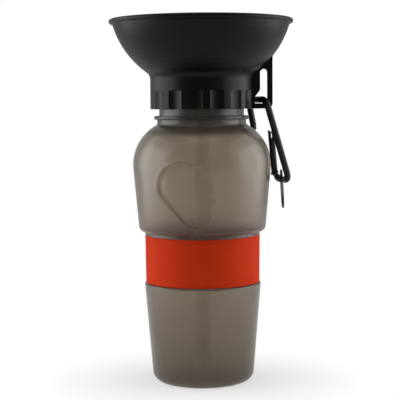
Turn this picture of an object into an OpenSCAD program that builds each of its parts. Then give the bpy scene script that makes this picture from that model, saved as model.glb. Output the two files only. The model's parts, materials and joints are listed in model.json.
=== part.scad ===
// Squeeze bottle for a dog on a walk: a bowl screwed on the neck, a dip tube, a grip band and a carabiner.

/* [Bottle] */
// Height of the tapered lower body, from the foot to the band
lower_h = 61.7; // [50:0.1:90]
// How far the lower body's top edge stands out from the band
lower_step = 0.55; // [0.2:0.05:2]
// How much the lower wall narrows on its way down to the foot
lower_taper = 5.05; // [3:0.1:7]
// Rounding between the foot and the wall
foot_round = 6.6; // [4:0.1:8]
// Height of the hollow under the foot
dish_h = 3; // [1.5:0.1:5]
// How far the upper body's lower edge stands out from the band
upper_step = 3.25; // [2.4:0.05:4.5]
// Slope of the upper body's wall, in degrees
upper_taper = 5; // [3:0.1:7]
// Rounding of the upper body's lower edge
upper_round = 4.5; // [2.5:0.1:5]
// Height of the upper body, from the band to the foot of the neck
upper_h = 67.5; // [62:0.1:80]
// Share of the sloping shoulder taken up by its round
shoulder_share = 0.96; // [0.6:0.01:0.96]
// Slope of the shoulder where it meets the neck, in degrees
shoulder_slope = 29; // [24:0.5:34]
// Wall of the blown body
bottle_wall = 1.2; // [0.8:0.1:2]

/* [Thumb recess] */
// Width of the recess
thumb_w = 36.5; // [28:0.5:42]
// Height of the recess
thumb_h = 39; // [34:0.5:42]
// Depth of the recess
thumb_depth = 2; // [1:0.1:3]
// Height of the recess's middle above the band
thumb_z = 26.9; // [25:0.1:30]
// Angle of the recess from the front, in degrees
thumb_turn = -14; // [-25:1:0]

/* [Neck] */
// Outer radius of the neck
neck_r = 26; // [24:0.1:26.2]
// Wall of the neck
neck_wall = 2; // [1.5:0.1:2.4]
// Radius of the neck's foot, under the support ring
neck_foot_r = 27.3; // [27:0.1:28]
// Height of the neck's foot
neck_foot_h = 3; // [2.5:0.1:5]
// Radius of the support ring
flange_r = 29.1; // [28.4:0.1:29.6]
// Thickness of the support ring
flange_t = 2.4; // [1.6:0.1:3]
// Height of the neck above the support ring
neck_h = 19.8; // [18:0.1:24]

/* [Grip band] */
// Height of the band
band_h = 29.3; // [20:0.1:36]
// Outer radius of the band at its top
band_top_r = 35.35; // [33:0.05:38]
// How much the band narrows on its way down
band_taper = 0.3; // [0:0.05:0.6]
// Depth of the waist that the band sits in, below the band's top radius
band_t = 1.95; // [1.4:0.05:2.4]
// Rounding of the band's edges
band_round = 0.7; // [0.3:0.05:0.9]

/* [Bowl] */
// Largest radius of the bowl, at its rim
rim_r = 56.2; // [54:0.05:60]
// Radius of the rolled bead round the rim
bead_r = 1.5; // [1.2:0.05:2]
// Height of the bowl's floor above the lowest point that its curve would reach
bowl_cut = 5.9; // [5:0.1:7]
// Height of the curve's centre above the rim
bowl_curve_rise = 12.3; // [10:0.1:13]
// Wall of the bowl
bowl_wall = 2.2; // [1.6:0.1:2.6]
// Thickness of the bowl's floor
floor_t = 3; // [2:0.1:4]

/* [Collar] */
// Outer radius of the collar
collar_r = 31.3; // [31:0.1:31.6]
// Gap between the collar and the support ring
collar_gap = 4; // [1:0.1:6]
// Radial room for the thread between the neck and the collar
thread_room = 1.6; // [1.2:0.1:2]
// Number of grip flutes round the collar
flute_count = 15; // [9:1:20]
// Width of a flute, in degrees
flute_angle = 16; // [12:0.5:20]
// Depth of a flute
flute_depth = 1.3; // [0.8:0.1:1.6]
// Height of a flute
flute_h = 11.1; // [7:0.1:14]
// Angle of the first flute from the front, in degrees
flute_turn = -6.6; // [-12:0.1:12]

/* [Seal and dip tube] */
// Thickness of the neck seal
seal_t = 2; // [1.2:0.1:3]
// Width of the seal inside the neck's wall
seal_lip = 1; // [0.5:0.1:2]
// Outer radius of the dip tube
tube_r = 4.75; // [4:0.05:6]
// Wall of the dip tube
tube_wall = 1.2; // [0.8:0.05:1.6]
// Gap between the tube's end and the bottom of the bottle
tube_foot_gap = 4; // [2:0.5:12]
// Length of the tube held in the socket
socket_depth = 9; // [6:0.5:14]
// Wall of the socket
socket_wall = 2; // [1.4:0.1:3]
// Height of the raised ring round the water hole
spout_h = 1.2; // [0.6:0.1:3]

/* [Hanger bracket] */
// Thickness of the bracket
hanger_t = 4; // [3:0.1:4.2]
// How far the bracket's outer face stands out beyond the band
hanger_out = 8.15; // [8.05:0.05:10.5]
// Least width of the bracket's web between the collar and the slot
web_w = 1.1; // [1:0.1:2.4]
// Width of the outer bar
hanger_bar_w = 3.2; // [2.4:0.1:3.6]
// Height of the bottom bar
hanger_sill_h = 3.2; // [2.4:0.1:3.4]
// Width of the slot between the web and the outer bar
slot_w = 4.4; // [4.3:0.1:5.2]
// Thickness left between the slot's top and the bowl
slot_roof = 1.9; // [1.6:0.1:5]
// Height of the wide foot of the slot
slot_foot_h = 3.6; // [3.4:0.1:4.4]
// Width of the wide foot of the slot
slot_foot_w = 7.9; // [7.6:0.1:8.2]
// Thickness of the pad that joins the bracket to the bowl
pad_t = 1.2; // [0.8:0.1:3]
// Width of the pad
pad_w = 8; // [5:0.1:12]

/* [Carabiner] */
// Diameter of the carabiner's rod
rod_d = 4; // [3.6:0.1:4]
// Length of the carabiner along the rod's middle
clip_len = 52; // [50:0.5:58]
// Width of its wide end along the rod's middle
clip_top_w = 25; // [21:0.5:25]
// Distance from the spine to the nose
clip_nose_w = 29.5; // [28:0.1:31]
// Height of the nose's tip below the top
clip_nose_drop = 21.5; // [20:0.5:24]
// Distance from the spine to the gate's rivet
clip_hinge_w = 17.5; // [17:0.5:20]
// Height of the gate's rivet above the bottom
clip_hinge_rise = 4; // [3.6:0.1:6]
// Turn of the carabiner round the upright, away from the front, in degrees
clip_turn = 67; // [62:0.5:70]
// Lean of the carabiner away from the bottle, in degrees
clip_lean = 17.5; // [16:0.5:30]
// Distance along the top from the spine to the bracket
clip_hang = 7; // [6.5:0.1:9]
// How far the gate stands open, from the line of the closed gate, in degrees
gate_open = 47; // [20:0.5:47.5]
// Diameter of the gate
gate_d = 4; // [3.8:0.1:4.4]
// Thickness of the flat ends of the frame
tang_t = 1.7; // [1.2:0.1:1.8]
// Radius of the gate's rivet
rivet_r = 0.75; // [0.5:0.05:0.9]
// Radius of the latch pin
latch_r = 0.65; // [0.5:0.05:0.75]

/* [Key ring] */
// Outer diameter of the key ring
ring_d = 24.2; // [24:0.1:25]
// Thickness of the key ring
ring_t = 1.3; // [1:0.1:1.4]
// Width of the ring's wire, across the ring
ring_wire_w = 1.3; // [1:0.1:1.4]
// Height of the rod above the ring's middle, where the ring hangs
ring_drop = 5.8; // [5.6:0.1:6.2]
// Place of the ring along the carabiner's bottom, from the spine
ring_place = 9.5; // [9.3:0.1:10]

/* [Hidden] */

eps = 0.01;
fine = 96;                  // faces of a large round
small = 32;                 // faces of a small round
reach = 2 * rim_r;          // longer than the bottle is wide
run_gap = 0.3;              // room between pieces that move past each other
fit_gap = 0.05;             // radial room of a pin in its hole
seam = 0.02;                // an elbow is this much thinner than the bars it joins

band_z = lower_h;
waist_r = band_top_r - band_t;
band_bottom_r = band_top_r - band_taper;
lower_top_r = band_top_r + lower_step;
lower_foot_r = lower_top_r - lower_taper;
upper_low_r = band_top_r + upper_step;
upper_z = band_z + band_h;
lip_h = 1.9;                // upright lip of the upper body above the band
root_z = upper_z + upper_h;
flange_z = root_z + neck_foot_h;
flange_top = flange_z + flange_t;
neck_top = flange_top + neck_h;

floor_z = neck_top + seal_t;
bowl_cr = 1.2;              // the bowl's curve is struck this far from the axis
bead_in = bead_r * 0.9;     // the curve passes this far inside the rim
bowl_curve_r = norm([rim_r - bead_in - bowl_cr, bowl_curve_rise]);
bowl_h = bowl_curve_r - bowl_curve_rise - bowl_cut;
rim_z = floor_z + bowl_h;
bowl_cz = rim_z + bowl_curve_rise;
collar_z = flange_top + collar_gap;
bore_r = neck_r + thread_room;

hanger_reach = max(band_top_r + hanger_out, collar_r + web_w + slot_foot_w + hanger_bar_w);
bar_x = hanger_reach - hanger_bar_w;
sill_z = collar_z + hanger_sill_h;
slot_x = bar_x - slot_w;
slot_h = bowl_cz - sqrt(pow(bowl_curve_r, 2) - pow(bar_x - slot_w / 2 - bowl_cr, 2)) - slot_roof - sill_z;
foot_x = bar_x - slot_foot_w;

rod_r = rod_d / 2;
gate_r = gate_d / 2;
spine_u = -12.5;            // place of the spine across the carabiner
hang_u = spine_u + clip_hang;
nose_u = spine_u + clip_nose_w;
top_u = spine_u + clip_top_w;
hinge = [spine_u + clip_hinge_w, clip_hinge_rise - clip_len];
latch = [nose_u - 0.3, 0.2 - clip_nose_drop];
gate_len = norm(latch - hinge);
gate_shut = atan2(latch.x - hinge.x, latch.y - hinge.y);
gate_slot = tang_t + 2 * run_gap;
eye_r = 2.1;                // round end of the frame at the rivet
hang_x = bar_x - slot_foot_w / 2 + 0.05;
hang_z = sill_z + rod_r + run_gap;

// ---- outlines: a corner is [x, y, radius] ----

function along(a, b) = let (v = [b.x - a.x, b.y - a.y]) v / norm(v);
function left_of(v) = [-v.y, v.x];
function turn(a, b) = atan2(a.x * b.y - a.y * b.x, a * b);
function steps(angle, r) = max(2, ceil(abs(angle) / (r > 10 ? 4 : 12)));

// points of an arc round c, from angle a0 through sweep
function arc(c, r, a0, sweep) = let (n = steps(sweep, r))
    [for (i = [0:n]) let (a = a0 + sweep * i / n) c + r * [cos(a), sin(a)]];

// one rounded corner between its neighbours p and q
function corner(p, c, q) = let (a = along(p, c), b = along(c, q), t = turn(a, b))
    c[2] < eps || abs(t) < 1 ? [[c.x, c.y]] :
    let (back = c[2] * tan(abs(t) / 2), side = sign(t), start = [c.x, c.y] - a * back,
         mid = start + left_of(a) * side * c[2])
    arc(mid, c[2], atan2(start.y - mid.y, start.x - mid.x), t);

function rounded(path) = let (n = len(path))
    [for (i = [0:n - 1]) each (i == 0 || i == n - 1 ? [[path[i].x, path[i].y]] :
        corner(path[i - 1], path[i], path[i + 1]))];

function closed_round(path) = let (n = len(path))
    [for (i = [0:n - 1]) each corner(path[(i + n - 1) % n], path[i], path[(i + 1) % n])];

// the same path moved to its left by d, with its roundings kept parallel
function inset(path, d) = let (n = len(path)) [for (i = [0:n - 1])
    let (a = i == 0 ? along(path[0], path[1]) : along(path[i - 1], path[i]),
         b = i == n - 1 ? a : along(path[i], path[i + 1]),
         u = left_of(a), v = left_of(b), m = (u + v) / (1 + u * v), r = path[i][2])
    [path[i].x + m.x * d, path[i].y + m.y * d, r < eps ? 0 : max(0, turn(a, b) > 0 ? r - d : r + d)]];

// where the line through p in direction a meets the line through q in direction b
function meet(p, a, q, b) = let (w = q - p, s = (w.x * b.y - w.y * b.x) / (a.x * b.y - a.y * b.x)) p + a * s;

// ---- bottle ----

foot_ring_r = lower_foot_r - foot_round - 1;
upper_dir = [sin(upper_taper), cos(upper_taper)];
upper_foot = meet([upper_low_r, upper_z], upper_dir, [0, upper_z + lip_h], [1, 0]);
shoulder = meet([upper_low_r, upper_z], upper_dir, [neck_foot_r, root_z], [cos(shoulder_slope), -sin(shoulder_slope)]);

shoulder_round = shoulder_share * norm(shoulder - [neck_foot_r, root_z]) / tan(45 + (upper_taper - shoulder_slope) / 2);

body_path = [
    [0, dish_h, 0],
    [foot_ring_r * 0.7, dish_h, 10],
    [foot_ring_r, 0, 3],
    [lower_foot_r, 0, foot_round],
    [lower_top_r, band_z, 1.2],
    [waist_r, band_z, 0],
    [waist_r, upper_z, 0],
    [band_top_r, upper_z, 0],
    [band_top_r, upper_z + lip_h, 0],
    [upper_foot.x, upper_foot.y, upper_round],
    [shoulder.x, shoulder.y, shoulder_round],
    [neck_foot_r, root_z, 1.5]];

neck_path = [
    [neck_foot_r, flange_z, 0],
    [flange_r, flange_z, 0.9],
    [flange_r, flange_top, 0.9],
    [neck_r, flange_top, 0],
    [neck_r, neck_top, 0.4],
    [0, neck_top, 0]];

bore_path = [
    [neck_foot_r - bottle_wall, flange_z, 0.5],
    [neck_r - neck_wall, flange_top, 0.5],
    [neck_r - neck_wall, neck_top + 1, 0],
    [0, neck_top + 1, 0]];

module outer_body() {
    rotate_extrude($fn = fine) polygon(rounded(concat(body_path, neck_path)));
}

module cavity_body() {
    rotate_extrude($fn = fine) polygon(rounded(concat(inset(body_path, bottle_wall), bore_path)));
}

// outline of the recess seen from the front: a wide top that narrows to a blunt tip
module thumb_outline() {
    w = thumb_w / 2;
    h = thumb_h / 2;
    polygon(closed_round([
        [-w, h * 0.05, w * 0.6],
        [w * 0.2, -h * 1.06, h * 0.42],
        [w, -h * 0.98, w * 0.5],
        [w, h * 0.75, w * 0.85],
        [-w * 0.05, h * 1.05, w * 0.6],
        [-w, h * 0.8, w * 0.8]]));
}

// what the recess takes away, down to a depth below the wall's outer face
module thumb_cut(depth, grow) {
    difference() {
        rotate([0, 0, thumb_turn]) translate([0, 0, upper_z + thumb_z]) rotate([90, 0, 0])
            linear_extrude(height = reach) offset(r = grow, $fn = small) thumb_outline();
        rotate_extrude($fn = fine) polygon(rounded(concat(inset(body_path, depth), bore_path)));
    }
}

module bottle() {
    color([0.42, 0.39, 0.36, 0.75]) difference() {
        difference() {
            outer_body();
            thumb_cut(thumb_depth, 0);
        }
        difference() {
            cavity_body();
            thumb_cut(thumb_depth + bottle_wall, bottle_wall);
        }
    }
}

// ---- grip band ----

module grip_band() {
    inner = waist_r + fit_gap;
    z0 = band_z + fit_gap;
    z1 = upper_z - fit_gap;
    color([0.8, 0.2, 0.1]) rotate_extrude($fn = fine) polygon(closed_round([
        [inner, z0, 0],
        [band_bottom_r, z0, band_round],
        [band_top_r, z1, band_round],
        [inner, z1, 0]]));
}

// ---- bowl cap ----

function bowl_z(r, d) = bowl_cz - sqrt(pow(bowl_curve_r - d, 2) - pow(r - bowl_cr, 2));
function bowl_angle(r, d) = -acos((r - bowl_cr) / (bowl_curve_r - d));

bead_c = [rim_r - bead_r, rim_z - bead_r];
wall_top = bead_c.x;                       // the wall runs into the bead's middle
outer_top_a = bowl_angle(wall_top, 0);
outer_low_a = bowl_angle(collar_r + 2.5, 0);
inner_top_a = bowl_angle(wall_top - bowl_wall * 0.5, bowl_wall);
inner_floor = floor_z + floor_t;
inner_low_a = -asin((bowl_cz - inner_floor - 2.2) / (bowl_curve_r - bowl_wall));

outer_cap_path = concat(
    [[0, collar_z, 0], [collar_r, collar_z, 0.6], [collar_r, bowl_z(collar_r, 0), 5]],
    [for (p = arc([bowl_cr, bowl_cz], bowl_curve_r, outer_low_a, outer_top_a - outer_low_a)) [p.x, p.y, 0]],
    [[wall_top, rim_z - bead_r, 0], [0, rim_z - bead_r, 0]]);

// the bowl's hollow: flat floor, rounded corner, then the wall's curve to above the rim
hollow_path = concat(
    [[0, inner_floor, 0], [bowl_cr + sqrt(pow(bowl_curve_r - bowl_wall, 2) - pow(bowl_cz - inner_floor, 2)), inner_floor, 5]],
    [for (p = arc([bowl_cr, bowl_cz], bowl_curve_r - bowl_wall, inner_low_a, inner_top_a - inner_low_a)) [p.x, p.y, 0]],
    [[wall_top - bowl_wall * 0.5 + 0.4, rim_z + 1, 0], [0, rim_z + 1, 0]]);

// scallops round the collar, each as wide as flute_angle at the collar's face
module flutes() {
    half = collar_r * sin(flute_angle / 2);
    depth = flute_depth - collar_r * (1 - cos(flute_angle / 2));
    r = (half * half + depth * depth) / (2 * depth);
    for (i = [0:flute_count - 1])
        rotate([0, 0, flute_turn - 90 + i * 360 / flute_count])
            translate([collar_r - flute_depth + r, 0, collar_z - 1]) cylinder(h = flute_h + 1, r = r, $fn = 2 * small);
}

// the flat bracket under the bowl, seen from the front
module hanger_outline() {
    difference() {
        polygon(rounded([
            [bore_r + 1, collar_z, 0],
            [hanger_reach, collar_z, 3.4],
            [hanger_reach, bowl_z(hanger_reach, 0) + 1, 0],
            [bore_r + 1, bowl_z(bore_r + 1, 0) + 1, 0]]));
        polygon(closed_round([
            [foot_x, sill_z, 0.5],
            [bar_x, sill_z, 0],
            [bar_x, sill_z + slot_h, slot_w / 2 - eps],
            [slot_x, sill_z + slot_h, slot_w / 2 - eps],
            [slot_x, sill_z + slot_foot_h + 4.4, 3.5],
            [foot_x, sill_z + slot_foot_h, 2]]));
    }
}

module hanger() {
    translate([0, hanger_t / 2, 0]) rotate([90, 0, 0]) linear_extrude(height = hanger_t) hanger_outline();
    intersection() {
        rotate_extrude($fn = fine) polygon(rounded(concat(
            [[bore_r + 1, rim_z - bead_r, 0], [bore_r + 1, bowl_z(collar_r + 2, 0) - pad_t, 0]],
            [for (p = arc([bowl_cr, bowl_cz], bowl_curve_r + pad_t, outer_low_a, outer_top_a - outer_low_a - 8))
                [p.x, p.y, 0]])));
        translate([bore_r + 1, -pad_w / 2, floor_z - 5])
            cube([hanger_reach - bore_r - 1, pad_w, bowl_z(hanger_reach, 0) - floor_z + 5]);
    }
}

module bowl_cap() {
    color([0.09, 0.09, 0.1]) difference() {
        union() {
            difference() {
                union() {
                    difference() {
                        rotate_extrude($fn = fine) polygon(rounded(outer_cap_path));
                        flutes();
                    }
                    hanger();
                }
                translate([0, 0, collar_z - 1]) cylinder(h = floor_z - collar_z + 1, r = bore_r, $fn = fine);
                rotate_extrude($fn = fine) polygon(rounded(hollow_path));
            }
            rotate_extrude($fn = fine) translate(bead_c) circle(r = bead_r, $fn = small);
            translate([0, 0, floor_z - socket_depth])
                cylinder(h = socket_depth + 1, r = tube_r + fit_gap + socket_wall, $fn = fine);
            translate([0, 0, inner_floor - 1]) cylinder(h = spout_h + 1, r = tube_r + socket_wall, $fn = fine);
        }
        translate([0, 0, floor_z - socket_depth - 1])
            cylinder(h = socket_depth + 1, r = tube_r + fit_gap, $fn = fine);
        translate([0, 0, floor_z - 1]) cylinder(h = floor_t + spout_h + 2, r = tube_r - tube_wall, $fn = fine);
    }
}

// ---- seal and dip tube ----

module neck_seal() {
    color([0.75, 0.75, 0.73]) translate([0, 0, neck_top]) difference() {
        cylinder(h = seal_t, r = bore_r - run_gap, $fn = fine);
        translate([0, 0, -1]) cylinder(h = seal_t + 2, r = neck_r - neck_wall - seal_lip, $fn = fine);
    }
}

module dip_tube() {
    z0 = dish_h + bottle_wall + tube_foot_gap;
    color([0.6, 0.57, 0.52]) difference() {
        translate([0, 0, z0]) cylinder(h = floor_z - z0, r = tube_r, $fn = fine);
        translate([0, 0, z0 - 1]) cylinder(h = floor_z - z0 + 2, r = tube_r - tube_wall, $fn = fine);
        translate([0, 0, z0]) rotate([0, 35, 0]) translate([-reach / 2, -reach / 2, -reach])
            cube([reach, reach, reach]);
    }
}

// ---- carabiner, drawn upright with its top at the origin, the spine at -x ----

module clip_place() {
    translate([hang_x, 0, hang_z]) rotate([0, 0, 180 - clip_turn]) rotate([-clip_lean, 0, 0])
        translate([-hang_u, 0, 0]) children();
}

// a drawing in the carabiner's own plane, x across and y up
module in_plane() {
    rotate([90, 0, 0]) children();
}

module bar(p, q, r) {
    a = along(p, q);
    translate([p.x, p.y, 0]) rotate([0, 0, atan2(a.y, a.x)]) rotate([0, 90, 0])
        cylinder(h = norm([q.x - p.x, q.y - p.y]), r = r, $fn = small);
}

module elbow(p, c, q, r) {
    a = along(p, c);
    t = turn(a, along(c, q));
    back = c[2] * tan(abs(t) / 2);
    start = [c.x, c.y] - a * back;
    mid = start + left_of(a) * sign(t) * c[2];
    a0 = atan2(start.y - mid.y, start.x - mid.x);
    lap = 0.3 / c[2] * 180 / PI;
    translate([mid.x, mid.y, 0]) rotate([0, 0, (t > 0 ? a0 : a0 + t) - lap])
        rotate_extrude(angle = abs(t) + 2 * lap, $fn = fine)
            translate([c[2], 0]) circle(r = r - seam, $fn = small);
}

function trim(path, i) = path[i][2] < eps ? 0 :
    path[i][2] * tan(abs(turn(along(path[i - 1], path[i]), along(path[i], path[i + 1]))) / 2);

// a round rod along a path of rounded corners
module rod(path, r) {
    n = len(path);
    for (i = [0:n - 2]) {
        a = along(path[i], path[i + 1]);
        t0 = i == 0 ? 0 : trim(path, i);
        t1 = i == n - 2 ? 0 : trim(path, i + 1);
        bar([path[i].x, path[i].y] + a * t0, [path[i + 1].x, path[i + 1].y] - a * t1, r);
    }
    for (i = [1:n - 2]) elbow(path[i - 1], path[i], path[i + 1], r);
}

heel = [hinge.x - 3, -clip_len];
heel_dir = along(hinge, heel);
tang_len = 2.6;             // from the rivet to where the frame is round again
nose_dir = along([top_u, 0], [nose_u, -clip_nose_drop]);
nose_end = [top_u, 0] + nose_dir * (norm([nose_u - top_u, clip_nose_drop]) - 4.2);

frame_path = [
    concat(hinge + heel_dir * tang_len, [0]),
    [heel.x, heel.y, 4],
    [spine_u, -clip_len, 5],
    [spine_u, 0, 4.6],
    [top_u, 0, 9],
    concat(nose_end, [0])];

// flat ear that the gate turns on
module hinge_tang() {
    translate([0, 0, -tang_t / 2]) linear_extrude(height = tang_t) difference() {
        union() {
            translate(hinge) circle(r = eye_r, $fn = small);
            translate(hinge) rotate(atan2(heel_dir.y, heel_dir.x))
                translate([0, -1.6]) square([tang_len + 1, 3.2]);
        }
        translate(hinge) circle(r = rivet_r, $fn = small);
    }
}

// hooked flat nose: its notch is open towards the spine, and the latch pin drops into it
module nose_tang() {
    w = 1.9;
    notch = latch_r + 0.25;
    translate([0, 0, -tang_t / 2]) linear_extrude(height = tang_t) difference() {
        translate(nose_end) rotate(atan2(nose_dir.y, nose_dir.x))
            polygon(closed_round([[-2, -w, 0], [6.8, -w, 1], [6.8, w, 1], [-2, w, 0]]));
        translate(latch) rotate(-gate_shut) {
            circle(r = notch, $fn = small);
            translate([-6, -notch]) square([6, 2 * notch]);
        }
    }
}

module carabiner_frame() {
    color([0.1, 0.1, 0.11]) clip_place() in_plane() union() {
        rod(frame_path, rod_r);
        hinge_tang();
        nose_tang();
    }
}

// the gate's own frame: the rivet at the origin, the gate along +y
module gate_place() {
    clip_place() in_plane() translate([hinge.x, hinge.y, 0]) rotate([0, 0, gate_open - gate_shut]) children();
}

module along_gate(from, h, r) {
    translate([0, from, 0]) rotate([-90, 0, 0]) cylinder(h = h, r = r, $fn = small);
}

module across_gate(from, h, r) {
    translate([0, 0, from]) cylinder(h = h, r = r, $fn = small);
}

gate_end = gate_len + 1.7;
hinge_slot = eye_r + 0.9;
nose_slot = 5;              // how far the fork at the gate's end reaches below the latch pin
spring_top = 14;
plunger_len = 5;

module carabiner_gate() {
    color([0.12, 0.12, 0.13]) gate_place() difference() {
        union() {
            along_gate(0, gate_end, gate_r);
            sphere(r = gate_r, $fn = small);
        }
        translate([-gate_d, -gate_d, -gate_slot / 2]) cube([2 * gate_d, gate_d + hinge_slot, gate_slot]);
        translate([-gate_d, gate_len - nose_slot, -gate_slot / 2]) cube([2 * gate_d, 2 * nose_slot, gate_slot]);
        along_gate(hinge_slot - 1, spring_top - hinge_slot + 1, rivet_r + 0.35);
        across_gate(-gate_d, 2 * gate_d, rivet_r + fit_gap);
        translate([0, gate_len, 0]) across_gate(-gate_d, 2 * gate_d, latch_r);
    }
}

module gate_rivet() {
    head_t = 0.25;
    head_r = rivet_r + 0.3;
    color([0.3, 0.3, 0.31]) clip_place() in_plane() translate([hinge.x, hinge.y, 0]) {
        across_gate(-gate_r - fit_gap - eps, gate_d + 2 * (fit_gap + eps), rivet_r);
        across_gate(gate_r + fit_gap, head_t, head_r);
        across_gate(-gate_r - fit_gap - head_t, head_t, head_r);
    }
}

module latch_pin() {
    color([0.3, 0.3, 0.31]) gate_place() translate([0, gate_len, 0])
        across_gate(-gate_r + 0.1, gate_d - 0.2, latch_r);
}

module gate_plunger() {
    color([0.7, 0.65, 0.45]) gate_place() along_gate(eye_r + run_gap, plunger_len, rivet_r + 0.3);
}

// helix of round wire, pushed between the plunger and the bore's end
module gate_spring() {
    turns = 6;
    wire_r = 0.16;
    coil_r = rivet_r + 0.3 - wire_r;
    sides = 6;
    per_turn = 12;
    n = turns * per_turn;
    y0 = eye_r + run_gap + plunger_len + wire_r;
    rise = spring_top - wire_r - y0;
    points = [for (i = [0:n]) let (a = i * 360 / per_turn) for (j = [0:sides - 1])
        let (b = j * 360 / sides, r = coil_r + wire_r * cos(b))
        [r * cos(a), y0 + rise * i / n + wire_r * sin(b), r * sin(a)]];
    faces = concat(
        [[for (j = [0:sides - 1]) j]],
        [for (i = [0:n - 1]) for (j = [0:sides - 1]) let (k = (j + 1) % sides)
            [i * sides + j, (i + 1) * sides + j, (i + 1) * sides + k, i * sides + k]],
        [[for (j = [0:sides - 1]) n * sides + sides - 1 - j]]);
    color([0.7, 0.7, 0.72]) gate_place() polyhedron(points, faces);
}

// ---- key ring: hangs over the carabiner's bottom, its plane near the upright one from front to back ----

ring_turn = 5.4;            // turn of the ring round the upright
ring_lean = 3;              // lean of the ring's lower end away from the bottle

// upright axes at the rod's middle, where the ring hangs
module ring_hook() {
    clip_place() translate([spine_u + ring_place, 0, -clip_len])
        rotate([clip_lean, 0, 0]) rotate([0, 0, clip_turn - 180]) children();
}

module key_ring() {
    r = ring_d / 2;
    c = 0.25;
    color([0.08, 0.08, 0.09]) ring_hook() translate([0, 0, -ring_drop]) rotate([0, 0, -ring_turn])
        rotate([0, 90 - ring_lean, 0]) rotate_extrude($fn = fine) polygon(closed_round([
            [r - ring_wire_w, -ring_t / 2, c],
            [r, -ring_t / 2, c],
            [r, ring_t / 2, c],
            [r - ring_wire_w, ring_t / 2, c]]));
}

bottle();
grip_band();
bowl_cap();
neck_seal();
dip_tube();
carabiner_frame();
carabiner_gate();
gate_rivet();
latch_pin();
gate_plunger();
gate_spring();
key_ring();
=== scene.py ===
import json
import math

import bmesh
import bpy
import numpy as np
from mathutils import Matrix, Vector


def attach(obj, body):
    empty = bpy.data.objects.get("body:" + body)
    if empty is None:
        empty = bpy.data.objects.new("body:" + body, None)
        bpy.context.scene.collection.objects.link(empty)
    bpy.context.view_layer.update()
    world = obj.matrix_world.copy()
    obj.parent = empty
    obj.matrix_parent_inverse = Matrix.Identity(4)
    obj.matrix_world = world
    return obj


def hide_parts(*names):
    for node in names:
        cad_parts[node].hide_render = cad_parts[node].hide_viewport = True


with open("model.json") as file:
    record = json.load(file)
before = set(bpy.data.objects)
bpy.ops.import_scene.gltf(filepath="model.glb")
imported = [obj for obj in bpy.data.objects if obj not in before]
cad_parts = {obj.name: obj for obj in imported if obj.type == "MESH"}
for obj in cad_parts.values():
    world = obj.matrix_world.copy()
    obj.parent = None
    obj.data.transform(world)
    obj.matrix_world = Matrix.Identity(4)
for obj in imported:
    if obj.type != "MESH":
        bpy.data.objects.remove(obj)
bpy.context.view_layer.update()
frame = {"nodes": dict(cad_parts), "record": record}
scene = bpy.context.scene
mm = 0.001


def srgb(r, g, b):  # a screen colour, 0 to 255, in Blender's linear values
    linear = [v / 255 / 12.92 if v < 11 else ((v / 255 + 0.055) / 1.055) ** 2.4 for v in (r, g, b)]
    return (*linear, 1)


def addNode(tree, kind, inputs=None, **settings):
    made = tree.nodes.new(kind)
    for key, value in settings.items():
        setattr(made, key, value)
    for key, value in (inputs or {}).items():
        if isinstance(value, bpy.types.NodeSocket):
            tree.links.new(value, made.inputs[key])
        else:
            made.inputs[key].default_value = value
    return made


def calc(tree, operation, first, second, **settings):  # the result of one maths node
    return addNode(tree, "ShaderNodeMath", {0: first, 1: second}, operation=operation, **settings).outputs[0]


def ramp(tree, value, low, high, atLow=0.0, atHigh=1.0, kind="LINEAR"):  # runs from atLow to atHigh, held outside
    inputs = {"Value": value, "From Min": low, "From Max": high, "To Min": atLow, "To Max": atHigh}
    return addNode(tree, "ShaderNodeMapRange", inputs, interpolation_type=kind).outputs[0]


def mixColour(tree, amount, first, second):
    inputs = {0: amount, 6: first, 7: second}  # the colour mix has these three sockets among its many
    return addNode(tree, "ShaderNodeMix", inputs, data_type="RGBA", blend_type="MIX").outputs[2]


def newGroup(name, inputs, outputs):  # inputs with their usual values, and the names of the outputs
    tree = bpy.data.node_groups.new(name, "ShaderNodeTree")
    for key, value in inputs.items():
        tree.interface.new_socket(key, in_out="INPUT", socket_type="NodeSocketFloat").default_value = value
    for key in outputs:
        tree.interface.new_socket(key, in_out="OUTPUT", socket_type="NodeSocketFloat")
    return tree, addNode(tree, "NodeGroupInput"), addNode(tree, "NodeGroupOutput")


def objectPlace(tree, scale):  # place on the piece in millimetres, times scale
    place = addNode(tree, "ShaderNodeTexCoord").outputs["Object"]
    size = calc(tree, "MULTIPLY", scale, 1 / mm)
    return addNode(tree, "ShaderNodeVectorMath", {0: place, "Scale": size}, operation="SCALE").outputs[0]


def addNoise(tree, place, noise):
    return addNode(tree, "ShaderNodeTexNoise", {"Vector": place, **noise}).outputs[0]


grainNoise = {
    "fine": {"Scale": 2.2, "Detail": 3.0, "Roughness": 0.55},
    "broad": {"Scale": 0.06, "Detail": 2.0, "Roughness": 0.5},
}


def buildGrain():  # the skin of a moulded piece: fine grain, and broad slow unevenness
    tree, given, out = newGroup("mouldedGrain", {"Scale": 1.0, "Grain": 0.5}, ["Height", "Broad"])
    place = objectPlace(tree, given.outputs["Scale"])
    fine = addNoise(tree, place, grainNoise["fine"])
    broad = addNoise(tree, place, grainNoise["broad"])
    grained = calc(tree, "MULTIPLY", fine, given.outputs["Grain"])
    tree.links.new(calc(tree, "ADD", grained, broad), out.inputs["Height"])
    tree.links.new(broad, out.inputs["Broad"])
    return tree


scuffStreaks = {"noise": {"Scale": 0.35, "Detail": 5.0, "Roughness": 0.65}, "contrast": 6.0}


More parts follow.
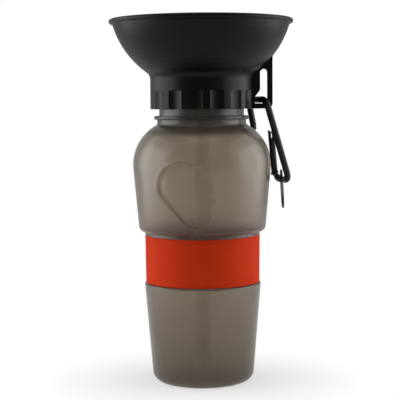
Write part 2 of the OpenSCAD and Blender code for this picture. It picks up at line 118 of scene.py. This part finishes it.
def buildScuffs():  # faint rubbed streaks, squeezed along the piece's height
    tree, given, out = newGroup("scuffs", {"Scale": 1.0, "Stretch": 6.0, "Cut": 0.6}, ["Mask"])
    split = addNode(tree, "ShaderNodeSeparateXYZ", {0: objectPlace(tree, given.outputs["Scale"])}).outputs
    squeezed = calc(tree, "MULTIPLY", split["Z"], given.outputs["Stretch"])
    place = addNode(tree, "ShaderNodeCombineXYZ", {"X": split["X"], "Y": split["Y"], "Z": squeezed}).outputs[0]
    over = calc(tree, "SUBTRACT", addNoise(tree, place, scuffStreaks["noise"]), given.outputs["Cut"])
    mask = calc(tree, "MULTIPLY", over, scuffStreaks["contrast"], use_clamp=True)
    tree.links.new(mask, out.inputs["Mask"])
    return tree


wornEdge = {"flat": 0.515, "placeScale": 0.5, "noise": {"Scale": 1.0, "Detail": 4.0}}  # flatter stays clean


def buildEdgeWear():  # 1 on sharp outer edges, broken up by noise
    tree, given, out = newGroup("edgeWear", {"Width": 4.0}, ["Mask"])
    pointiness = addNode(tree, "ShaderNodeNewGeometry").outputs["Pointiness"]
    over = calc(tree, "SUBTRACT", pointiness, wornEdge["flat"])
    edge = calc(tree, "MULTIPLY", over, given.outputs["Width"], use_clamp=True)
    broken = addNoise(tree, objectPlace(tree, wornEdge["placeScale"]), wornEdge["noise"])
    mask = calc(tree, "MULTIPLY", edge, broken, use_clamp=True)
    tree.links.new(mask, out.inputs["Mask"])
    return tree


grainGroup, scuffGroup, wearGroup = buildGrain(), buildScuffs(), buildEdgeWear()

usualFinish = {  # what a finish has where its own dictionary says nothing
    "roughMore": 0.08, "grain": 0.5, "grainScale": 1.0, "bump": 0.1, "bumpDepth": 0.05,
    "scuffScale": 1.0, "scuffStretch": 6.0, "scuffCut": 0.6, "wearWidth": 4.0,
    "tints": [], "tintRise": 3.0, "shader": {},
}


def makeMaterial(name, ownFinish):
    finish = {**usualFinish, "worn": ownFinish["light"], **ownFinish}
    material = bpy.data.materials.new(name)
    material.use_nodes = True
    tree = material.node_tree
    tree.nodes.clear()
    grainInputs = {"Scale": finish["grainScale"], "Grain": finish["grain"]}
    grain = addNode(tree, "ShaderNodeGroup", grainInputs, node_tree=grainGroup)
    scuffInputs = {"Scale": finish["scuffScale"], "Stretch": finish["scuffStretch"], "Cut": finish["scuffCut"]}
    scuffs = addNode(tree, "ShaderNodeGroup", scuffInputs, node_tree=scuffGroup)
    wear = addNode(tree, "ShaderNodeGroup", {"Width": finish["wearWidth"]}, node_tree=wearGroup)
    colour = mixColour(tree, grain.outputs["Broad"], finish["dark"], finish["light"])
    colour = mixColour(tree, wear.outputs["Mask"], colour, finish["worn"])
    for low, high, share, tint in finish["tints"]:  # colour painted in bands by height, strongest at low and gone at high, in millimetres; on the bottle they paint the red band's reflection and the collar's shade, and darken the foot
        height = addNode(tree, "ShaderNodeSeparateXYZ", {0: objectPlace(tree, 1.0)}).outputs["Z"]
        fade = ramp(tree, height, low, high, share, 0.0, "SMOOTHSTEP")
        above = ramp(tree, height, low - finish["tintRise"], low, kind="SMOOTHSTEP")
        colour = mixColour(tree, calc(tree, "MULTIPLY", fade, above), colour, tint)
    rough = ramp(tree, scuffs.outputs["Mask"], 0.0, 1.0, finish["rough"], finish["rough"] + finish["roughMore"])
    bump = addNode(tree, "ShaderNodeBump", {
        "Height": grain.outputs["Height"], "Strength": finish["bump"], "Distance": finish["bumpDepth"] * mm})
    shader = addNode(tree, "ShaderNodeBsdfPrincipled", {
        "Base Color": colour, "Roughness": rough, "Normal": bump.outputs[0], **finish["shader"]})
    out = addNode(tree, "ShaderNodeOutputMaterial", {"Surface": shader.outputs[0]})
    if "absorb" in finish:  # the wall's own tint, deeper where more of it is looked through
        absorb = addNode(tree, "ShaderNodeVolumeAbsorption", {
            "Color": finish["absorb"], "Density": finish["absorbDensity"]})
        tree.links.new(absorb.outputs[0], out.inputs["Volume"])
    return material


smokyPlastic = {
    "dark": srgb(192, 180, 166), "light": srgb(201, 190, 176), "worn": srgb(208, 200, 190),
    "tints": [
        (93.0, 103.0, 0.7, srgb(172, 130, 122)),  # painted reflection and glow of the red band in the wall just above it
        (-8.0, 75.0, 0.66, srgb(154, 145, 132)),  # painted darker towards the foot
        (154.5, 400.0, 0.75, srgb(106, 106, 107)),  # painted shade and dark reflection from the collar over the neck, added to what the thicker neck wall absorbs
    ],
    "absorb": (0.5, 0.46, 0.4, 1), "absorbDensity": 300.0,
    "rough": 0.22, "grain": 0.1, "grainScale": 0.3, "bump": 0.04, "bumpDepth": 0.03, "scuffCut": 0.66,
    "shader": {"Transmission Weight": 0.88, "IOR": 1.42, "Specular IOR Level": 0.24},
}
bandRubber = {
    "dark": srgb(200, 51, 21), "light": srgb(210, 59, 25), "worn": srgb(208, 72, 38),
    "rough": 0.5, "roughMore": 0.1, "grain": 0.8, "grainScale": 2.0, "bump": 0.25, "bumpDepth": 0.04,
    "shader": {"Specular IOR Level": 0.02},
}
blackPlastic = {
    "dark": srgb(4, 4, 5), "light": srgb(7, 7, 8), "worn": srgb(28, 28, 30),
    "rough": 0.36, "roughMore": 0.1, "grain": 0.6, "grainScale": 1.6, "bumpDepth": 0.02,
    "shader": {"Specular IOR Level": 0.18},
}
sealRubber = {
    "dark": srgb(205, 204, 199), "light": srgb(222, 221, 216), "rough": 0.55,
    "grain": 0.7, "grainScale": 2.0, "bump": 0.2, "shader": {"Subsurface Weight": 0.1},
}
tubePlastic = {
    "dark": srgb(240, 236, 229), "light": srgb(246, 243, 238), "rough": 0.3,
    "grain": 0.3, "shader": {"Transmission Weight": 0.96, "IOR": 1.06},
}
blackMetal = {
    "dark": srgb(10, 10, 11), "light": srgb(15, 15, 16), "worn": srgb(62, 62, 64), "wearWidth": 2.0,
    "rough": 0.3, "roughMore": 0.15, "scuffScale": 4.0,
    "grain": 0.6, "grainScale": 3.0, "bump": 0.12, "bumpDepth": 0.02, "shader": {"Specular IOR Level": 0.3},
}
steel = {
    "dark": srgb(120, 120, 124), "light": srgb(150, 150, 154), "rough": 0.28, "roughMore": 0.2,
    "scuffScale": 5.0, "grainScale": 4.0, "bumpDepth": 0.02, "shader": {"Metallic": 1.0},
}
brass = {
    "dark": srgb(170, 140, 80), "light": srgb(196, 166, 100), "rough": 0.3, "roughMore": 0.15,
    "scuffScale": 5.0, "grainScale": 4.0, "bumpDepth": 0.02, "shader": {"Metallic": 1.0},
}
finishes = {
    "smoky_plastic": smokyPlastic, "band_rubber": bandRubber, "black_plastic": blackPlastic,
    "seal_rubber": sealRubber, "tube_plastic": tubePlastic, "black_metal": blackMetal, "steel": steel, "brass": brass,
}
materials = {name: makeMaterial(name, finish) for name, finish in finishes.items()}

slotOf = {part["node"]: part["material_slot"] for part in frame["record"]["subparts"]}
for nodeName, obj in frame["nodes"].items():
    obj.data.materials.clear()
    obj.data.materials.append(materials[slotOf[nodeName]])
print("finishes on the nodes")

pathDetail = {  # lengths in millimetres, turns in radians
    "leastRounding": 0.01, "leastTurn": 0.02, "sideShare": 0.98,  # a rounding takes at most this share of a side
    "wideRadius": 10, "fewestParts": 3,  # a wider rounding is cut four times as fine
}


def roundedPath(corners, step=6.0):  # a corner is (radius, height, rounding); the ends stay sharp
    points = [np.array(corners[0][:2], float)]
    for before, here, after in zip(corners, corners[1:], corners[2:]):
        a, b, c = (np.array(v[:2], float) for v in (before, here, after))
        u, v = (b - a) / np.linalg.norm(b - a), (c - b) / np.linalg.norm(c - b)
        turn = math.atan2(u[0] * v[1] - u[1] * v[0], u @ v)
        if here[2] < pathDetail["leastRounding"] or abs(turn) < pathDetail["leastTurn"]:
            points.append(b)
            continue
        room = [pathDetail["sideShare"] * np.linalg.norm(side) for side in (b - a, c - b)]
        back = min(here[2] * math.tan(abs(turn) / 2), *room)
        radius = back / math.tan(abs(turn) / 2)
        middle = b - u * back + np.array([-u[1], u[0]]) * math.copysign(1, turn) * radius
        start = b - u * back - middle
        partTurn = step / 2 if radius > pathDetail["wideRadius"] else 2 * step
        count = max(pathDetail["fewestParts"], math.ceil(math.degrees(abs(turn)) / partTurn))
        for i in range(count + 1):
            cos, sin = math.cos(turn * i / count), math.sin(turn * i / count)
            points.append(middle + [start[0] * cos - start[1] * sin, start[0] * sin + start[1] * cos])
    points.append(np.array(corners[-1][:2], float))
    return points


def movedPath(corners, depth):  # the same corners moved to the left of the path by depth
    moved = []
    for i, here in enumerate(corners):
        b = np.array(here[:2], float)
        u = b - corners[i - 1][:2] if i else np.array(corners[1][:2]) - b
        v = np.array(corners[i + 1][:2]) - b if i < len(corners) - 1 else u
        u, v = u / np.linalg.norm(u), v / np.linalg.norm(v)
        left, right = np.array([-u[1], u[0]]), np.array([-v[1], v[0]])
        turnsLeft = u[0] * v[1] - u[1] * v[0] > 0
        rounding = here[2] and max(0, here[2] - depth if turnsLeft else here[2] + depth)
        moved.append((*(b + (left + right) / (1 + left @ right) * depth), rounding))
    return moved


def denser(points, low, high, gap):  # more rows between two heights
    rows = [points[0]]
    for a, b in zip(points, points[1:]):
        inside = min(a[1], b[1]) < high and max(a[1], b[1]) > low
        count = max(1, math.ceil(np.linalg.norm(b - a) / gap)) if inside else 1
        rows += [a + (b - a) * i / count for i in range(1, count + 1)]
    return rows


def addMesh(name, vertices, faces, sharpAngle, joinWithin=0):  # in millimetres; creases past the angle stay sharp
    mesh = bpy.data.meshes.new(name)
    mesh.from_pydata((vertices.reshape(-1, 3) * mm).tolist(), [], faces)
    work = bmesh.new()
    work.from_mesh(mesh)
    if joinWithin:
        bmesh.ops.remove_doubles(work, verts=work.verts, dist=joinWithin * mm)
    bmesh.ops.recalc_face_normals(work, faces=work.faces)
    work.to_mesh(mesh)
    work.free()
    mesh.shade_smooth()
    mesh.set_sharp_from_angle(angle=math.radians(sharpAngle))
    obj = bpy.data.objects.new(name, mesh)
    scene.collection.objects.link(obj)
    return obj


def facesBetweenRings(count, wide):  # count rings of points, each with wide points
    return [(i * wide + j, i * wide + (j + 1) % wide, (i + 1) * wide + (j + 1) % wide, (i + 1) * wide + j)
            for i in range(count - 1) for j in range(wide)]


def turnedMesh(name, rows, angles, shape):  # rows of (radius, height) turned round the axis, then shaped
    rows = np.array(rows)
    height = np.repeat(rows[:, 1:2], len(angles), 1)
    around = np.repeat(np.radians(angles)[None, :], len(rows), 0)
    radius = shape(np.repeat(rows[:, 0:1], len(angles), 1), height, around)
    vertices = np.stack([radius * np.cos(around), radius * np.sin(around), height], 2)
    return addMesh(name, vertices, facesBetweenRings(len(rows), len(angles)), sharpAngle=38, joinWithin=0.01)


def sweptMesh(name, middles, across, along, section):  # one section carried down a path and closed at both ends
    rings = middles[:, None] + across[:, None] * section[None, :, 0:1] + along[:, None] * section[None, :, 1:2]
    count, wide = len(middles), len(section)
    ends = [tuple(range(wide))[::-1], tuple(range((count - 1) * wide, count * wide))]
    return addMesh(name, rings, facesBetweenRings(count, wide) + ends, sharpAngle=50)


def distanceInside(x, y, outline):  # how far a point lies inside a closed outline, less than 0 outside
    best = np.full(x.shape, np.inf)
    inside = np.zeros(x.shape, bool)
    for a, b in zip(outline, np.roll(outline, -1, 0)):
        d = b - a
        t = np.clip(((x - a[0]) * d[0] + (y - a[1]) * d[1]) / (d @ d), 0, 1)
        best = np.minimum(best, np.hypot(x - a[0] - t * d[0], y - a[1] - t * d[1]))
        if a[1] != b[1]:
            inside ^= ((a[1] > y) != (b[1] > y)) & (x < d[0] * (y - a[1]) / (b[1] - a[1]) + a[0])
    return np.where(inside, best, -best)


def smooth(t):  # eased from 0 to 1
    t = np.clip(t, 0, 1)
    return t * t * (3 - 2 * t)


# the bottle, one blown shell: radii, heights and roundings in millimetres
bottle = {
    "dish": 3.0, "dishShare": 0.7, "dishRound": 10, "footRing": 23.25, "footRingRound": 3,
    "foot": 30.85, "footRound": 6.6, "lowerTop": 35.9, "lowerRound": 1.2,
    "waist": 33.4, "waistLow": 61.7, "waistHigh": 91.0, "lip": 35.35, "lipHeight": 1.9,
    "upperFoot": 38.77, "upperRound": 4.0, "shoulder": (43.73, 149.40), "shoulderRound": 27.6,
    "neckFoot": 27.3, "neckLow": 158.5, "neckFootRound": 1.5, "neck": 26.0, "neckTop": 183.7, "rimRound": 0.4,
    "flange": 29.1, "flangeLow": 161.5, "flangeHigh": 163.9, "flangeRound": 0.9,
    "wall": 1.2, "neckWall": 2.0, "boreRound": 0.5,
    "fineAngles": (-140, -70, 0.5), "coarseAngles": (-70, 220, 2.5),  # from, to and step in degrees
    "recessRows": (96, 142, 0.5), "threadRows": (165.5, 183, 0.45),  # finer rows: from, to and gap
    "recess": {  # the shallow hollow in its side, with a fine bead round it and an edge that is softer higher up
        "turn": -14.0, "height": 117.9, "depth": 1.8, "beadHeight": 0.3, "beadWidth": 0.5, "beadOut": 0.6,
        "edge": 0.9, "edgeShare": 0.25, "edgeGrowth": 0.8, "growthFrom": -2, "growthOver": 20,
        "clearBelow": 3, "clearAbove": 8, "outlineStep": 4.0,
        "corners": [  # across, up and rounding
            (-18.25, 0.975, 10.95), (2.555, -20.28, 8.19), (15.695, -17.55, 9.125),
            (15.695, 14.04, 15.5125), (-1.825, 19.5, 10.95), (-18.25, 15.21, 14.6)],
    },
    "thread": {  # runIn in turns; only rows near the neck's radius and above the flange carry it
        "pitch": 5.0, "height": 1.05, "width": 1.5, "flank": 0.7, "from": 168.6, "turns": 2.1, "runIn": 1 / 8,
        "nearNeck": 0.05, "aboveFlange": 1,
    },
    "seam": {"height": 0.05, "width": 0.5, "turn": 0.25, "from": 7},  # the mould's parting line, turn in radians
}
recess, neckThread, mouldSeam = bottle["recess"], bottle["thread"], bottle["seam"]


def bottleCorners(b):  # the outer and the inner wall as corners, both from the foot up
    lipTop = b["waistHigh"] + b["lipHeight"]
    bore = b["neck"] - b["neckWall"]
    rim = (b["neck"] - b["neckWall"] / 2, b["neckTop"], 0)
    body = [
        (0, b["dish"], 0), (b["footRing"] * b["dishShare"], b["dish"], b["dishRound"]),
        (b["footRing"], 0, b["footRingRound"]), (b["foot"], 0, b["footRound"]),
        (b["lowerTop"], b["waistLow"], b["lowerRound"]), (b["waist"], b["waistLow"], 0),
        (b["waist"], b["waistHigh"], 0), (b["lip"], b["waistHigh"], 0), (b["lip"], lipTop, 0),
        (b["upperFoot"], lipTop, b["upperRound"]), (*b["shoulder"], b["shoulderRound"]),
        (b["neckFoot"], b["neckLow"], b["neckFootRound"]), (b["neckFoot"], b["flangeLow"], 0)]
    outer = body + [
        (b["flange"], b["flangeLow"], b["flangeRound"]), (b["flange"], b["flangeHigh"], b["flangeRound"]),
        (b["neck"], b["flangeHigh"], 0), (b["neck"], b["neckTop"], b["rimRound"]), rim]
    inner = movedPath(body, b["wall"])[:-1] + [
        (b["neckFoot"] - b["wall"], b["flangeLow"], b["boreRound"]), (bore, b["flangeHigh"], b["boreRound"]),
        (bore, b["neckTop"], b["rimRound"]), rim]
    return outer, inner


looped = [recess["corners"][-1], *recess["corners"], recess["corners"][0]]
recessOutline = np.array(roundedPath(looped, recess["outlineStep"])[1:-1])


def bottleShape(radius, height, around):  # the plain turned radius with recess, thread and seam
    side = around - math.radians(recess["turn"] - 90)
    x = radius * np.sin(side)
    y = height - recess["height"]
    low, high = bottle["waistHigh"] + recess["clearBelow"], bottle["neckLow"] - recess["clearAbove"]
    near = (np.cos(side) > 0) & (height > low) & (height < high)
    deep = distanceInside(x[near], y[near], recessOutline)
    growth = smooth((y[near] - recess["growthFrom"]) / recess["growthOver"])
    edge = recess["edge"] * (1 + recess["edgeGrowth"] * growth)
    bead = recess["beadHeight"] * np.exp(-(((deep + recess["beadOut"]) / recess["beadWidth"]) ** 2))
    depth = np.zeros(radius.shape)
    depth[near] = recess["depth"] * smooth(deep / edge + recess["edgeShare"]) - bead

    turned = (around % (2 * math.pi)) / (2 * math.pi)
    turns = (height - neckThread["from"]) / neckThread["pitch"] - turned
    fromRidge = np.abs((turns + 0.5) % 1 - 0.5) * neckThread["pitch"]
    along = np.round(turns) + turned  # turns along the ridge
    ends = smooth(along / neckThread["runIn"]) * smooth((neckThread["turns"] - along) / neckThread["runIn"])
    thread = neckThread["height"] * ends * smooth((neckThread["width"] - fromRidge) / neckThread["flank"])
    onNeck = np.abs(radius - bottle["neck"]) < neckThread["nearNeck"]
    onNeck &= height > bottle["flangeHigh"] + neckThread["aboveFlange"]

    acrossSeam = np.sin(around - mouldSeam["turn"]) * radius
    seam = np.exp(-((acrossSeam / mouldSeam["width"]) ** 2)) * mouldSeam["height"]
    onBody = (height < bottle["flangeLow"]) & (height > mouldSeam["from"])
    return radius - depth + np.where(onNeck, thread, 0) + np.where(onBody, seam, 0)


turnAngles = np.concatenate([np.arange(*bottle["fineAngles"]), np.arange(*bottle["coarseAngles"])])
outerCorners, innerCorners = bottleCorners(bottle)
outerRows = denser(denser(roundedPath(outerCorners), *bottle["recessRows"]), *bottle["threadRows"])
innerRows = denser(roundedPath(innerCorners), *bottle["recessRows"])
shell = turnedMesh("bottleShell", outerRows + innerRows[::-1][1:], turnAngles, bottleShape)
shell.data.materials.append(materials["smoky_plastic"])
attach(shell, "bottle")
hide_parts("bottle")
print("bottle shell:", len(shell.data.polygons), "faces")

# the thread inside the collar, half a pitch from the neck's, running out into the wall at both ends
collarThread = {
    "bore": 27.65, "crest": 26.45, "base": 0.72, "top": 0.42, "from": 171.1, "turns": 1.75,
    "steps": 240, "runIn": 1 / 4, "leastDepth": 0.05,  # runIn in radians
}
turn = np.linspace(0, collarThread["turns"] * 2 * math.pi, collarThread["steps"])
outward = np.stack([np.cos(turn), np.sin(turn), 0 * turn], 1)
lift = np.repeat([[0.0, 0.0, 1.0]], len(turn), 0)
rise = collarThread["from"] + neckThread["pitch"] * turn / (2 * math.pi)
ridgeDepth = collarThread["bore"] - collarThread["crest"]
threadSection = np.array([
    (0, -collarThread["base"]), (-ridgeDepth, -collarThread["top"]),
    (-ridgeDepth, collarThread["top"]), (0, collarThread["base"])])
runIn = smooth(turn / collarThread["runIn"]) * smooth((turn[-1] - turn) / collarThread["runIn"])
depthShare = collarThread["leastDepth"] + (1 - collarThread["leastDepth"]) * runIn
middles = outward * collarThread["bore"] + lift * rise[:, None]
ridge = sweptMesh("collarThread", middles, outward * depthShare[:, None], lift, threadSection)
ridge.data.materials.append(materials["black_plastic"])
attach(ridge, "bowl_cap")

# the split ring: two turns of flat wire that cross over halfway, placed and sized by the solid ring
splitRing = {
    "wireWide": 1.26, "wireThick": 0.58, "layer": 0.33, "corner": 0.16, "inside": 0.02,
    "crossing": 14.0, "steps": 260,  # crossing in degrees
}
ringNode = frame["nodes"]["key_ring"]
ringPoints = np.array([v.co[:] for v in ringNode.data.vertices]) / mm
ringMiddle = (ringPoints.min(0) + ringPoints.max(0)) / 2
axes = np.linalg.svd(ringPoints - ringMiddle, full_matrices=False)[2]
ringReach = np.linalg.norm((ringPoints - ringMiddle) @ axes[:2].T, axis=1).max()
ringRadius = ringReach - splitRing["wireWide"] / 2 - splitRing["inside"]
crossing, fullTurn = splitRing["crossing"], 360
windDegrees = np.linspace(crossing, 2 * fullTurn - crossing, splitRing["steps"])
wind = np.radians(windDegrees)
outward = np.cos(wind)[:, None] * axes[0] + np.sin(wind)[:, None] * axes[1]
side = splitRing["layer"] * (2 * smooth((windDegrees - fullTurn + crossing) / (2 * crossing)) - 1)
wide, thick, corner = splitRing["wireWide"] / 2, splitRing["wireThick"] / 2, splitRing["corner"]
wireSection = np.array([
    (sx * (wide - corner) + corner * math.cos(t), sy * (thick - corner) + corner * math.sin(t))
    for sx, sy, start in ((1, 1, 0), (-1, 1, 90), (-1, -1, 180), (1, -1, 270))
    for t in np.radians([start, start + 45, start + 90])])
middles = ringMiddle + outward * ringRadius + side[:, None] * axes[2]
coil = sweptMesh("splitRing", middles, outward, np.repeat(axes[2:3], len(wind), 0), wireSection)
coil.data.materials.append(materials["black_metal"])
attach(coil, "key_ring")
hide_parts("key_ring")
print("threads and split ring")

cameraPlace = {  # millimetres and degrees; clip in metres
    "distance": 750, "height": 170.3, "aimX": -0.92, "pitch": 4.45, "roll": 0.45,
    "lens": 109.8, "sensor": 36, "clip": (0.01, 20),
}
cameraData = bpy.data.cameras.new("camera")
cameraData.lens = cameraPlace["lens"]
cameraData.sensor_width = cameraPlace["sensor"]
cameraData.clip_start, cameraData.clip_end = cameraPlace["clip"]
camera = bpy.data.objects.new("camera", cameraData)
camera.location = (cameraPlace["aimX"] * mm, -cameraPlace["distance"] * mm, cameraPlace["height"] * mm)
camera.rotation_euler = (math.radians(90 - cameraPlace["pitch"]), math.radians(cameraPlace["roll"]), 0)
scene.collection.objects.link(camera)
scene.camera = camera

# soft light: a smaller box in front of a wide one on each side, one in front and one above
# each has its place, aim and size in metres, its power in watts and its colour
plainWhite, coolWhite = (1, 1, 1), (0.94, 0.97, 1.0)
softboxes = [
    ("boxLeft", (-0.62, 0.0, 0.15), (0, 0, 0.13), (0.6, 0.7), 2.7, coolWhite),
    ("boxLeftWide", (-0.66, 0.0, 0.17), (0, 0, 0.13), (1.0, 1.3), 4.3, coolWhite),
    ("boxRight", (0.62, 0.0, 0.15), (0, 0, 0.13), (0.6, 0.7), 2.4, coolWhite),
    ("boxRightWide", (0.66, 0.0, 0.17), (0, 0, 0.13), (1.0, 1.3), 4.0, coolWhite),
    ("boxFront", (0, -0.75, 0.75), (0, 0, 0.12), (0.9, 0.5), 0.26, plainWhite),
    ("boxTop", (0, -0.1, 0.9), (0, 0, 0.1), (0.6, 0.6), 1.5, plainWhite),
]
for name, place, aim, size, power, colour in softboxes:
    data = bpy.data.lights.new(name, "AREA")
    data.shape = "RECTANGLE"
    data.size, data.size_y = size
    data.energy = power
    data.color = colour
    box = bpy.data.objects.new(name, data)
    box.location = place
    box.rotation_euler = (Vector(aim) - Vector(place)).to_track_quat("-Z", "Y").to_euler()
    scene.collection.objects.link(box)

pureWhite = (1, 1, 1, 1)
studio = {"room": 0.1, "shine": 0.4, "shineFrom": 0.1, "shineTo": 0.6}  # gloss sees white towards the back
world = bpy.data.worlds.new("studio")
scene.world = world
world.use_nodes = True
worldTree = world.node_tree
worldTree.nodes.clear()
rays = addNode(worldTree, "ShaderNodeLightPath").outputs
direction = addNode(worldTree, "ShaderNodeTexCoord").outputs["Generated"]
towardsBack = addNode(worldTree, "ShaderNodeSeparateXYZ", {0: direction}).outputs["Y"]
behind = ramp(worldTree, towardsBack, studio["shineFrom"], studio["shineTo"])
shine = calc(worldTree, "MULTIPLY", rays["Is Glossy Ray"], studio["shine"])
shiny = calc(worldTree, "MULTIPLY", shine, behind)
seen = calc(worldTree, "MAXIMUM", rays["Is Camera Ray"], rays["Is Transmission Ray"])
anySeen = calc(worldTree, "MAXIMUM", seen, shiny)
room = addNode(worldTree, "ShaderNodeBackground", {"Color": pureWhite, "Strength": studio["room"]})
white = addNode(worldTree, "ShaderNodeBackground", {"Color": pureWhite, "Strength": 1.0})
pick = addNode(worldTree, "ShaderNodeMixShader", {0: anySeen, 1: room.outputs[0], 2: white.outputs[0]})
addNode(worldTree, "ShaderNodeOutputWorld", {0: pick.outputs[0]})

ground = {  # metres; the floor's own white is weaker near the bottle, where its shadow falls
    "radius": 1.6, "corners": 64, "paint": (0.85, 0.85, 0.85, 1), "shine": 0.35,
    "whiteNear": 0.034, "whiteFar": 0.1, "nearShare": 0.6,
}
floorMesh = bpy.data.meshes.new("floor")
floorAngles = [2 * math.pi * i / ground["corners"] for i in range(ground["corners"])]
floorRing = [(ground["radius"] * math.cos(t), ground["radius"] * math.sin(t), 0) for t in floorAngles]
floorMesh.from_pydata(floorRing, [], [list(range(ground["corners"]))])
floor = bpy.data.objects.new("floor", floorMesh)
scene.collection.objects.link(floor)
floorMaterial = bpy.data.materials.new("floor")
floorMaterial.use_nodes = True
floorTree = floorMaterial.node_tree
floorTree.nodes.clear()
floorRays = addNode(floorTree, "ShaderNodeLightPath").outputs
floorSeen = calc(floorTree, "MAXIMUM", floorRays["Is Camera Ray"], floorRays["Is Transmission Ray"])
floorGloss = calc(floorTree, "MULTIPLY", floorRays["Is Glossy Ray"], ground["shine"])
floorShine = calc(floorTree, "MAXIMUM", floorSeen, floorGloss)
floorPlace = addNode(floorTree, "ShaderNodeTexCoord").outputs["Object"]
floorFar = addNode(floorTree, "ShaderNodeVectorMath", {0: floorPlace}, operation="LENGTH").outputs["Value"]
floorWhite = ramp(floorTree, floorFar, ground["whiteNear"], ground["whiteFar"], ground["nearShare"], 1.0)
floorPart = calc(floorTree, "MULTIPLY", floorShine, floorWhite)
floorPaint = addNode(floorTree, "ShaderNodeBsdfDiffuse", {"Color": ground["paint"]})
floorGlow = addNode(floorTree, "ShaderNodeEmission", {"Color": pureWhite, "Strength": 1.0})
floorMix = addNode(floorTree, "ShaderNodeMixShader", {0: floorPart, 1: floorPaint.outputs[0], 2: floorGlow.outputs[0]})
addNode(floorTree, "ShaderNodeOutputMaterial", {"Surface": floorMix.outputs[0]})
floorMesh.materials.append(floorMaterial)
print("camera and light")

scene.view_settings.view_transform = "Standard"
